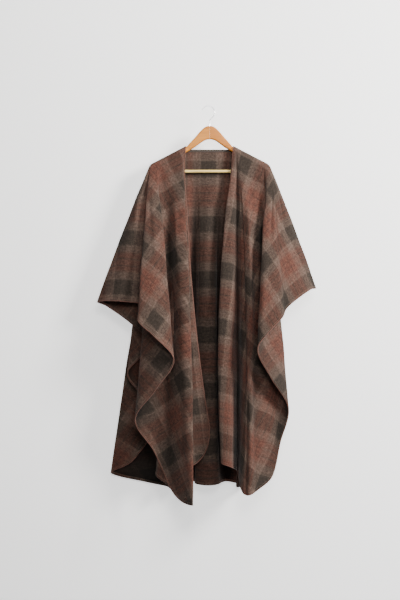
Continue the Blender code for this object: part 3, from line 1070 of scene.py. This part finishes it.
class Shader:
    """A material's node tree with short ways to add what the finishes need."""

    def __init__(self, name: str, roughness: float) -> None:
        """Start a material.

        Args:
            name: The material's name.
            roughness: Its roughness.
        """
        self.material = bpy.data.materials.new(name)
        self.material.use_nodes = True
        self.tree = self.material.node_tree
        self.principled = self.tree.nodes["Principled BSDF"]
        self.principled.inputs["Roughness"].default_value = roughness

    def node(self, kind: str, **inputs: object) -> bpy.types.Node:
        """Add a node and set or link its inputs by name.

        Args:
            kind: The node's type.
            inputs: Values or wires by socket name, with _ for a space.

        Returns:
            The node.
        """
        made = self.tree.nodes.new(kind)
        for name, value in inputs.items():
            socket = made.inputs[name.replace("_", " ")]
            if isinstance(value, Wire):
                self.tree.links.new(value.socket, socket)
            else:
                socket.default_value = value
        return made

    def wire(self, socket: bpy.types.NodeSocket) -> Wire:
        """Wrap a socket."""
        return Wire(self.tree, socket)

    def uv(self, name: str) -> tuple[Wire, Wire, Wire]:
        """Return a UV map as a vector and its two numbers.

        Args:
            name: The map's name.

        Returns:
            The vector, then its first and second number.
        """
        made = self.tree.nodes.new("ShaderNodeUVMap")
        made.uv_map = name
        parts = self.tree.nodes.new("ShaderNodeSeparateXYZ")
        self.tree.links.new(made.outputs["UV"], parts.inputs[0])
        return self.wire(made.outputs["UV"]), self.wire(parts.outputs[0]), self.wire(parts.outputs[1])

    def attribute(self, name: str) -> Wire:
        """Return a number that the mesh carries at each point.

        Args:
            name: The attribute's name.

        Returns:
            Its value.
        """
        made = self.tree.nodes.new("ShaderNodeAttribute")
        made.attribute_name = name
        return self.wire(made.outputs["Fac"])

    def place(self) -> Wire:
        """Return the object's own coordinates."""
        return self.wire(self.tree.nodes.new("ShaderNodeTexCoord").outputs["Object"])

    def stretched(self, vector: Wire, scale: Point, turn: float = 0.0) -> Wire:
        """Turn a vector about Y and scale it.

        Args:
            vector: The vector.
            scale: Its scale on each axis.
            turn: The turn in radians.

        Returns:
            The new vector.
        """
        made = self.tree.nodes.new("ShaderNodeMapping")
        made.inputs["Scale"].default_value = scale
        made.inputs["Rotation"].default_value = (0.0, turn, 0.0)
        self.tree.links.new(vector.socket, made.inputs["Vector"])
        return self.wire(made.outputs["Vector"])

    def noise(self, vector: Wire, scale: float, detail: float = 2.0, rough: float = 0.5) -> Wire:
        """Return a noise value between 0 and 1.

        Args:
            vector: Where to read it.
            scale: How fine it is.
            detail: How many finer layers it has.
            rough: How strong they are.

        Returns:
            The value.
        """
        made = self.node("ShaderNodeTexNoise", Vector=vector, Scale=scale, Detail=detail,
                         Roughness=rough)
        return self.wire(made.outputs["Fac"])

    def ramp(self, value: Wire, stops: Sequence[tuple[float, Colour]]) -> Wire:
        """Read a colour from a table of stops.

        Args:
            value: Where to read the table, 0 to 1.
            stops: Positions and their colours.

        Returns:
            The colour.
        """
        made = self.tree.nodes.new("ShaderNodeValToRGB")
        elements = made.color_ramp.elements
        while len(elements) > 1:
            elements.remove(elements[-1])
        for number, (position, colour) in enumerate(stops):
            element = elements[0] if number == 0 else elements.new(position)
            element.position = position
            element.color = colour
        self.tree.links.new(value.socket, made.inputs["Fac"])
        return self.wire(made.outputs["Color"])

    def mix(self, factor: Wire | float, first: Wire | Colour, second: Wire | Colour,
            blend: str = "MIX") -> Wire:
        """Mix two colours.

        Args:
            factor: The share of the second.
            first: The first colour.
            second: The second colour.
            blend: How they are blended.

        Returns:
            The mixed colour.
        """
        made = self.tree.nodes.new("ShaderNodeMix")
        made.data_type = "RGBA"
        made.blend_type = blend
        for index, value in ((0, factor), (6, first), (7, second)):
            if isinstance(value, Wire):
                self.tree.links.new(value.socket, made.inputs[index])
            else:
                made.inputs[index].default_value = value
        return self.wire(made.outputs[2])

    def grey(self, value: Wire) -> Wire:
        """Return a grey of the given brightness.

        Args:
            value: The brightness.

        Returns:
            The grey.
        """
        made = self.tree.nodes.new("ShaderNodeCombineXYZ")
        for index in range(3):
            self.tree.links.new(value.socket, made.inputs[index])
        return self.wire(made.outputs[0])

    def colour(self, value: Wire | Colour) -> None:
        """Set the base colour.

        Args:
            value: A colour, or a wire that carries one.
        """
        socket = self.principled.inputs["Base Color"]
        if isinstance(value, Wire):
            self.tree.links.new(value.socket, socket)
        else:
            socket.default_value = value

    def bump(self, height: Wire, distance: float, strength: float = 1.0) -> None:
        """Raise the surface by a height from 0 to 1 times a distance."""
        made = self.node("ShaderNodeBump", Height=height, Distance=distance, Strength=strength)
        self.tree.links.new(made.outputs["Normal"], self.principled.inputs["Normal"])

    def constant(self, **values: float) -> None:
        """Set plain values on the shader by name."""
        for name, value in values.items():
            self.principled.inputs[name.replace("_", " ")].default_value = value


@dataclass(frozen=True)
class WoolFinish:
    """Brushed wool in a woven plaid, with painted shade darkening its fold valleys."""

    ground: Colour = srgb(90, 72, 63)
    rust: Colour = srgb(90, 57, 47)
    dark: Colour = srgb(50, 42, 36)
    pale: Colour = srgb(97, 81, 71)
    fine: Colour = srgb(66, 49, 42)
    thread: float = 0.0021
    fuzz: float = 0.55
    # How strongly the fold valleys are darkened in the colour: painted shade.
    hollow_shade: float = 0.8
    dark_again: float = 0.997
    plaid: Plaid = Plaid()

    def stripes(self) -> list[tuple[float, Colour]]:
        """Return one repeat of the stripes, from the start of its dark band.

        Returns:
            Positions in the repeat and their colours.
        """
        rows = ((0.02, 0.26, self.dark), (0.308, 0.312, self.pale), (0.335, 0.40, self.ground),
                (0.47, 0.545, self.rust), (0.562, 0.567, self.fine), (0.585, 0.685, self.rust),
                (0.702, 0.707, self.fine), (0.725, 0.78, self.rust), (0.85, 0.945, self.ground),
                (0.966, 0.970, self.pale))
        stops = []
        for start, end, colour in rows:
            stops += [(start, colour), (end, colour)]
        return stops + [(self.dark_again, self.dark)]

    def make(self, name: str, shade: float) -> bpy.types.Material:
        """Build the material.

        Args:
            name: The material's name.
            shade: A factor on its brightness, which is painted shade: lower for the copy used on the
                back panel and the hems.

        Returns:
            The material.
        """
        shader = Shader(name, 0.92)
        vector, weft, warp = shader.uv("cloth")
        spread = shader.noise(vector, 260.0, 3.0, 0.7) * 0.016 - 0.008
        bands = []
        lines = ((weft, self.plaid.weft_repeat, (620.0, 26.0, 1.0)),
                 (warp, self.plaid.warp_repeat, (26.0, 620.0, 1.0)))
        for value, repeat, along in lines:
            share = (value + spread) / repeat
            band = shader.ramp(share.math("FRACT"), self.stripes())
            streak = shader.noise(shader.stretched(vector, along), 1.0, 2.0, 0.6)
            bands.append(shader.mix(1.0, band, shader.grey((streak - 0.5) * 2.4 + 1.0), "MULTIPLY"))
        diagonal = ((weft + warp) * (2 * math.pi / self.thread)).math("SINE")
        fuzz = shader.noise(vector, 420.0, 4.0, 0.65)
        share = (diagonal * 0.18 + (fuzz - 0.5) * 1.5 + 0.5).math("MULTIPLY", 1.0, clamp=True)
        colour = shader.mix(share, bands[0], bands[1])
        mottle_and_shade = (shader.noise(vector, 130.0, 4.0, 0.75) - 0.5) * 2.6 + 1.0
        # Painted shade: the mottled tone is darkened in the fold valleys and by the brightness factor.
        hollow = shader.attribute("hollow")
        mottle_and_shade = mottle_and_shade * (1.0 - hollow * self.hollow_shade) * shade
        colour = shader.mix(1.0, colour, shader.grey(mottle_and_shade), "MULTIPLY")
        shader.colour(colour)
        height = diagonal * 0.12 + fuzz * 0.7 + shader.noise(vector, 1400.0, 3.0, 0.7) * 0.5
        shader.bump(height, 0.0009, self.fuzz)
        shader.constant(Sheen_Weight=0.06, Sheen_Roughness=0.45, Specular_IOR_Level=0.2)
        return shader.material


@dataclass(frozen=True)
class PlainFinish:
    """A plain matt cloth or thread."""

    tint: Colour
    roughness: float = 0.9

    def make(self, name: str) -> bpy.types.Material:
        """Build the material.

        Args:
            name: The material's name.

        Returns:
            The material.
        """
        shader = Shader(name, self.roughness)
        grain = shader.noise(shader.place(), 700.0, 3.0, 0.6)
        dark = tuple(part * 0.55 for part in self.tint[:3]) + (1.0,)
        shader.colour(shader.mix(grain, dark, self.tint))
        shader.bump(grain, 0.0004, 0.6)
        shader.constant(Sheen_Weight=0.15)
        return shader.material


@dataclass(frozen=True)
class WoodFinish:
    """Satin wood with its grain along one direction."""

    tint: Colour
    dark: Colour
    turn: float
    roughness: float = 0.55
    coat: float = 0.0

    def make(self, name: str) -> bpy.types.Material:
        """Build the material with grain turned about Y by turn.

        Args:
            name: The material's name.

        Returns:
            The material.
        """
        shader = Shader(name, self.roughness)
        place = shader.place()
        long = shader.stretched(place, (6.0, 60.0, 60.0), self.turn)
        wide = shader.noise(long, 1.6, 3.0, 0.55)
        fine = shader.noise(shader.stretched(place, (14.0, 420.0, 420.0), self.turn), 1.0, 3.0, 0.6)
        grain = (wide * 0.75 + fine * 0.45).math("MULTIPLY", 0.9, clamp=True)
        shader.colour(shader.ramp(grain, [(0.25, self.dark), (0.52, self.tint),
                                          (0.8, tuple(min(part * 1.15, 1.0) for part in self.tint))]))
        shader.bump(fine, 0.0002, 0.25)
        shader.constant(Coat_Weight=self.coat, Coat_Roughness=0.2)
        return shader.material


@dataclass(frozen=True)
class MetalFinish:
    """Polished metal."""

    tint: Colour
    roughness: float = 0.12

    def make(self, name: str) -> bpy.types.Material:
        """Build the material.

        Args:
            name: The material's name.

        Returns:
            The material.
        """
        shader = Shader(name, self.roughness)
        shader.colour(self.tint)
        shader.constant(Metallic=1.0)
        shader.bump(shader.noise(shader.place(), 900.0, 2.0), 0.0001, 0.1)
        return shader.material


# The cape and the hanger


@dataclass
class Cape:
    """The two fronts, the back and the band inside its neck."""

    sizes: ClothSizes = CLOTH
    front_columns: int = 250
    back_third: int = 130
    neck_columns: int = 60
    front_steps: int = 130
    back_steps: int = 120
    left_weft_phase: tuple[float, float] = (0.036, 0.036)
    right_weft_phase: tuple[float, float] = (0.016, 0.052)
    left_warp_phase: float = 0.114
    right_warp_phase: float = 0.0254
    back_weft_phase: float = -0.023
    back_warp_phase: float = 0.060

    def front(self, side: Side) -> ClothPanel:
        """Return one front.

        Args:
            side: Which front.

        Returns:
            The panel, not yet built.
        """
        sizes = self.sizes
        if side is Side.LEFT:
            rows, creases = LEFT_FRONT, LEFT_FRONT_CREASES
            reach, length = sizes.left_reach, sizes.left_front
            weft, warp = self.left_weft_phase, self.left_warp_phase
        else:
            rows, creases = RIGHT_FRONT, RIGHT_FRONT_CREASES
            reach, length = sizes.right_reach, sizes.right_front
            weft, warp = self.right_weft_phase, self.right_warp_phase
        cut = Cut(reach, length, sizes.corner, sizes.corner, sizes.corner)
        ribs = half_ribs(rows, self.front_columns, side, cut, Hang.FRONT, weft)
        name = side.name.lower()
        return ClothPanel("wool_cape_front_" + name, "cape_front_" + name, "wool_face", ribs,
                          Hang.FRONT, float(side.value), self.front_steps, creases, warp,
                          ("hanger_arm_" + name,), True)

    def back(self) -> ClothPanel:
        """Return the back.

        Returns:
            The panel, not yet built.
        """
        sizes = self.sizes
        drop = sizes.back - sizes.back_side_straight
        cuts = [Cut(reach, sizes.back, reach, drop, 0.0)
                for reach in (sizes.left_reach, sizes.right_reach)]
        outward = (self.back_weft_phase - HANGER.stem_x) * np.array([-1.0, 1.0]) - HANGER.neck_half
        left = half_ribs(LEFT_BACK, self.back_third, Side.LEFT, cuts[0], Hang.BACK,
                         (outward[0], outward[0]))
        right = half_ribs(RIGHT_BACK, self.back_third, Side.RIGHT, cuts[1], Hang.BACK,
                          (outward[1], outward[1]))
        neck = middle_ribs(self.neck_columns, len(LEFT_BACK) - 1.0)
        neck.weft = neck.weft + self.back_weft_phase
        last_place = len(LEFT_BACK) - 1 + len(BACK_MIDDLE) + 1 + len(RIGHT_BACK) - 1
        ribs = left.joined([neck, right.turned_round(last_place)])
        return ClothPanel("wool_cape_back", "cape_back", "wool_back", ribs, Hang.BACK, 1.0,
                          self.back_steps, BACK_CREASES, self.back_warp_phase,
                          ("hanger_arm_left", "hanger_arm_right"), False)

    def neck_band(self, back: ClothPanel, finish: bpy.types.Material) -> bpy.types.Object:
        """Build the narrow band inside the back neck.

        Args:
            back: The back, built.
            finish: Its material.

        Returns:
            The band.
        """
        first = self.back_third
        depths = np.linspace(0, self.sizes.band, 5)
        down = OVER_TURN + depths[None, :] * np.ones((len(back.ribs.along), 1))
        points, normals = back.surface(down)
        rows = slice(first, first + self.neck_columns - 1)
        near = -(self.sizes.thick / 2 + 0.0003)
        grid, up = points[rows], normals[rows]
        weft, warp = back.flat_places(down)
        item = wall("neck_tape", grid + up * near, grid + up * (near - self.sizes.band_thick), finish,
                    np.stack([weft[rows], warp[rows]], axis=-1))
        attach(item, "root")
        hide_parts("neck_band")
        back.pieces.append(item)
        return item

    def build(self) -> None:
        """Build, sew and declare every panel."""
        face = WoolFinish().make("wool_plaid", 1.0)
        # The same plaid at 0.92 of its brightness: painted shade, used for the back panel and the
        # turned hems.
        inside = WoolFinish().make("wool_plaid_inside", 0.92)
        edge = PlainFinish(srgb(112, 70, 56)).make("wool_edge")
        thread = PlainFinish(srgb(150, 118, 96), 0.7).make("sewing_thread")
        tape = PlainFinish(srgb(70, 60, 52)).make("neck_tape_cloth")
        group = stitch_group(thread)
        for panel in (self.front(Side.LEFT), self.front(Side.RIGHT), self.back()):
            back = panel.hang is Hang.BACK
            # The back panel takes the darker copy of the plaid, which is painted shade.
            shell = panel.build(inside if back else face)
            panel.hem(inside)
            roll = tube(panel.name + "_edge", panel.edge_path(0.0003, 0.0), 0.0016, edge, 8)
            rows = [roll]
            lift = self.sizes.thick / 2 + 0.0001
            path = panel.edge_path(self.sizes.hem * 0.85, lift)
            rows.append(stitches(panel.name + "_stitches", path, group, StitchSizes()))
            path = panel.edge_path(self.sizes.hem * 0.85, -lift - self.sizes.hem_thick)
            rows.append(stitches(panel.name + "_inner_stitches", path, group, StitchSizes()))
            if back:
                self.neck_band(panel, tape)
            for item in rows:
                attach(item, "root")
                panel.pieces.append(item)
            panel.declare(shell)
            LOG.info("%s: %d ribs", panel.name, len(panel.ribs.along))


@dataclass
class Hanger:
    """Two wooden arms, a trouser bar and a wire hook."""

    sizes: HangerSizes = HANGER
    crown: tuple[tuple[float, float], ...] = (
        (0.0, -0.0706), (0.006, -0.0709), (0.012, -0.0722), (0.018, -0.0756), (0.024, -0.0800),
        (0.031, -0.0867), (0.038, -0.0940), (0.044, -0.1012), (0.050, -0.1085), (0.061, -0.1205),
        (0.073, -0.1340), (0.0815, -0.1440))
    underside: tuple[tuple[float, float], ...] = (
        (0.2060, -0.2500), (0.1930, -0.2500), (0.1830, -0.2430), (0.1830, -0.2250),
        (0.1760, -0.2140), (0.1330, -0.1915), (0.0900, -0.1690), (0.0530, -0.1470),
        (0.0300, -0.1300), (0.0220, -0.1247), (0.0140, -0.1210), (0.0070, -0.1190), (0.0, -0.1185))

    def outline(self) -> list[tuple[float, float]]:
        """Return one arm's outline from the stem outwards, as pairs of out and z.

        Returns:
            The outline's points.
        """
        sizes = self.sizes
        under = CLOTH.thick / 2 + sizes.arm_gap
        points = list(self.crown)
        slope = sizes.arm_slope
        for along in np.linspace(sizes.covered_from, sizes.ridge_straight, 4):
            point = ridge_point(along, 1)
            points.append((point[0] - sizes.stem_x - under * math.sin(slope),
                           point[2] - under * math.cos(slope)))
        radius = sizes.ridge_round - under
        centre = ridge_point(sizes.ridge_straight, 1)
        centre_out = centre[0] - sizes.stem_x - sizes.ridge_round * math.sin(slope)
        centre_z = centre[2] - sizes.ridge_round * math.cos(slope)
        for turn in np.linspace(slope, sizes.arm_end_turn, 14)[1:]:
            points.append((centre_out + radius * math.sin(turn), centre_z + radius * math.cos(turn)))
        return points + list(self.underside)

    def arm(self, name: str, side: Side, finish: bpy.types.Material) -> bpy.types.Object:
        """Build one arm from its outline, with rounded edges.

        Args:
            name: The object's name.
            side: Which arm.
            finish: Its material.

        Returns:
            The arm.
        """
        build = bmesh.new()
        half = self.sizes.arm_thick / 2
        stem = self.sizes.stem_x
        outline = [(max(out, 0.00015), z) for out, z in self.outline()]
        front = [build.verts.new((stem + side.value * out, -half, z)) for out, z in outline]
        face = build.faces.new(front)
        made = bmesh.ops.extrude_face_region(build, geom=[face])
        copies = [item for item in made["geom"] if isinstance(item, bmesh.types.BMVert)]
        bmesh.ops.translate(build, verts=copies, vec=(0.0, 2 * half, 0.0))
        rims = [edge for edge in build.edges
                if abs(edge.verts[0].co.y - edge.verts[1].co.y) < 1e-4
                and max(abs(vertex.co.x - stem) for vertex in edge.verts) > 0.005]
        bmesh.ops.bevel(build, geom=rims, offset=self.sizes.arm_bevel, segments=5, profile=0.5,
                        affect="EDGES")
        bmesh.ops.recalc_face_normals(build, faces=build.faces[:])
        mesh = bpy.data.meshes.new(name)
        build.to_mesh(mesh)
        build.free()
        return new_object(name, mesh, finish, 40.0)

    def hook_path(self) -> np.ndarray:
        """Return the wire's centre line, from its tip to the crown.

        Returns:
            The line's points.
        """
        sizes = self.sizes
        centre = sizes.hook_wire / 2 - sizes.hook_radius
        turns = np.radians(np.linspace(sizes.hook_open, sizes.hook_close, sizes.hook_steps))
        ring = np.stack([sizes.hook_radius * np.cos(turns), np.zeros(sizes.hook_steps),
                         centre + sizes.hook_radius * np.sin(turns)], axis=-1)
        last = ring[-1]
        share = np.linspace(0, 1, sizes.swing_steps + 1)[1:]
        swing = np.stack([last[0] + (sizes.stem_x - last[0]) * ease(share), 0 * share,
                          last[2] - sizes.stem_bend * share], axis=-1)
        foot = np.array([[sizes.stem_x, 0.0, sizes.crown_top - 0.004]])
        return np.concatenate([ring, swing, foot])

    def build(self) -> None:
        """Build the hanger's pieces."""
        sizes = self.sizes
        tint, dark = srgb(204, 128, 30), srgb(172, 100, 20)
        left = WoodFinish(tint, dark, -sizes.arm_slope).make("arm_wood_left")
        right = WoodFinish(srgb(194, 118, 26), dark, sizes.arm_slope).make("arm_wood_right")
        pale = WoodFinish(srgb(236, 206, 128), srgb(210, 174, 96), 0.0, 0.5, 0.1).make("bar_wood")
        chrome = MetalFinish(srgb(214, 214, 216)).make("chrome")
        reach = sizes.bar_end - 0.0003
        bar = np.array([[sizes.stem_x + share * reach, 0.0, sizes.bar_z]
                        for share in np.linspace(-1, 1, 9)])
        made = ((self.arm("wood_arm_left", Side.LEFT, left), "hanger_arm_left", "hanger_wood"),
                (self.arm("wood_arm_right", Side.RIGHT, right), "hanger_arm_right", "hanger_wood"),
                (tube("trouser_bar", bar, sizes.bar_diameter / 2, pale, 32), "hanger_bar", "bar_wood"),
                (tube("wire_hook", self.hook_path(), sizes.hook_wire / 2, chrome, 20),
                 "hanger_hook", "hook_chrome"))
        for item, node, slot in made:
            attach(item, "root")
            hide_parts(node)
            LOG.info("%s stands for %s", item.name, node)


class Lamp(NamedTuple):
    """One soft square lamp, aimed at the cape."""

    name: str
    place: Point
    size: float
    power: float
    tint: Point


LAMPS = (
    Lamp("key", (2.6, -1.9, 0.8), 0.9, 238.0, (1.0, 0.985, 0.965)),
    Lamp("front", (0.3, -3.4, 0.6), 1.0, 80.0, (1.0, 0.99, 0.98)),
    Lamp("fill", (-2.2, -2.8, -0.4), 2.4, 5.0, (0.96, 0.98, 1.0)),
    Lamp("top", (0.3, -1.6, 2.2), 1.4, 30.0, (1.0, 1.0, 1.0)),
    Lamp("rear", (0.9, 3.2, 0.9), 1.6, 170.0, (1.0, 1.0, 1.0)),
)


@dataclass
class Studio:
    """The wall, floor, nail, lights and camera, which aren't part of the object."""

    wall_y: float = 0.070
    floor_z: float = -1.80
    target: Point = (-0.03, 0.0, -0.697)
    distance: float = 3.2
    lens: float = 53.33
    # The wall's glow: painted light, brighter towards the right and the top.
    glow: float = 1.5
    glow_base: float = 0.62
    glow_rise: float = 0.16
    glow_across: float = 0.42
    glow_least: float = 0.55
    room_light: float = 0.10

    def plane(self, name: str, corners: Sequence[Point], material: bpy.types.Material) -> None:
        """Stage one flat rectangle.

        Args:
            name: The object's name.
            corners: Its four corners.
            material: Its material.
        """
        mesh = bpy.data.meshes.new(name)
        mesh.from_pydata(corners, [], [(0, 1, 2, 3)])
        mesh.materials.append(material)
        item = bpy.data.objects.new(name, mesh)
        item.visible_diffuse = False
        item.visible_shadow = False
        bpy.context.scene.collection.objects.link(item)

    def pale(self, name: str, tint: Colour, one_sided: bool) -> bpy.types.Material:
        """Return the wall's or floor's matt paint; one_sided makes its rear clear and gives it a glow
        of painted light, brighter towards the right and the top.

        Args:
            name: The material's name.
            tint: The paint's colour.
            one_sided: Whether it is clear from behind and glows with painted light, brighter towards
                the right and the top.

        Returns:
            The material.
        """
        shader = Shader(name, 0.9)
        shader.colour(tint)
        if one_sided:
            side = shader.tree.nodes.new("ShaderNodeNewGeometry")
            front = 1.0 - shader.wire(side.outputs["Backfacing"])
            shader.tree.links.new(front.socket, shader.principled.inputs["Alpha"])
            # Painted light: the wall glows, brighter towards the right and the top, from grey up to
            # white.
            parts = shader.tree.nodes.new("ShaderNodeSeparateXYZ")
            shader.tree.links.new(shader.place().socket, parts.inputs[0])
            height = shader.wire(parts.outputs[2]) * self.glow_rise + self.glow_base
            level = shader.wire(parts.outputs[0]) * self.glow_across + height
            share = level.math("MULTIPLY", 1.0, clamp=True)
            painted_light = shader.mix(share, (*[self.glow_least] * 3, 1.0), (1.0, 1.0, 1.0, 1.0))
            shader.tree.links.new(painted_light.socket, shader.principled.inputs["Emission Color"])
            shader.constant(Emission_Strength=self.glow)
        return shader.material

    def light(self, lamp: Lamp) -> None:
        """Add a lamp.

        Args:
            lamp: The lamp's sizes.
        """
        light = bpy.data.lights.new(lamp.name, "AREA")
        light.size = lamp.size
        light.energy = lamp.power
        light.color = lamp.tint
        item = bpy.data.objects.new(lamp.name, light)
        item.location = lamp.place
        aim = Vector(self.target) - Vector(lamp.place)
        item.rotation_euler = aim.to_track_quat("-Z", "Y").to_euler()
        bpy.context.scene.collection.objects.link(item)

    def build(self) -> None:
        """Stage everything and set the camera."""
        y, z, far = self.wall_y, self.floor_z, 4.0
        self.plane("wall", [(-far, y, z), (far, y, z), (far, y, 3.0), (-far, y, 3.0)],
                   self.pale("wall_paint", srgb(238, 237, 235), True))
        self.plane("floor", [(-far, -5.0, z), (far, -5.0, z), (far, 5.0, z), (-far, 5.0, z)],
                   self.pale("floor_paint", srgb(225, 224, 221), False))
        steel = MetalFinish(srgb(150, 150, 150), 0.3).make("nail_steel")
        shank = np.array([[0.0, place, -0.0017] for place in (y, 0.02, -0.008)])
        nail = tube("nail", shank, 0.0015, steel, 12)
        for lamp in LAMPS:
            self.light(lamp)
        world = bpy.data.worlds.new("room")
        world.use_nodes = True
        air = world.node_tree.nodes["Background"]
        air.inputs["Color"].default_value = (0.95, 0.96, 1.0, 1.0)
        air.inputs["Strength"].default_value = self.room_light
        bpy.context.scene.world = world
        lens = bpy.data.cameras.new("camera")
        lens.sensor_fit = "VERTICAL"
        lens.sensor_height = 36.0
        lens.lens = self.lens
        camera = bpy.data.objects.new("camera", lens)
        camera.location = (self.target[0], self.target[1] - self.distance, self.target[2])
        camera.rotation_euler = (math.pi / 2, 0.0, 0.0)
        bpy.context.scene.collection.objects.link(camera)
        bpy.context.scene.camera = camera


def main() -> None:
    """Build the looks round the frame."""
    logging.basicConfig(level=logging.INFO, format="%(name)s: %(message)s")
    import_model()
    Hanger().build()
    Cape().build()
    Studio().build()


if __name__ == "__main__":
    main()
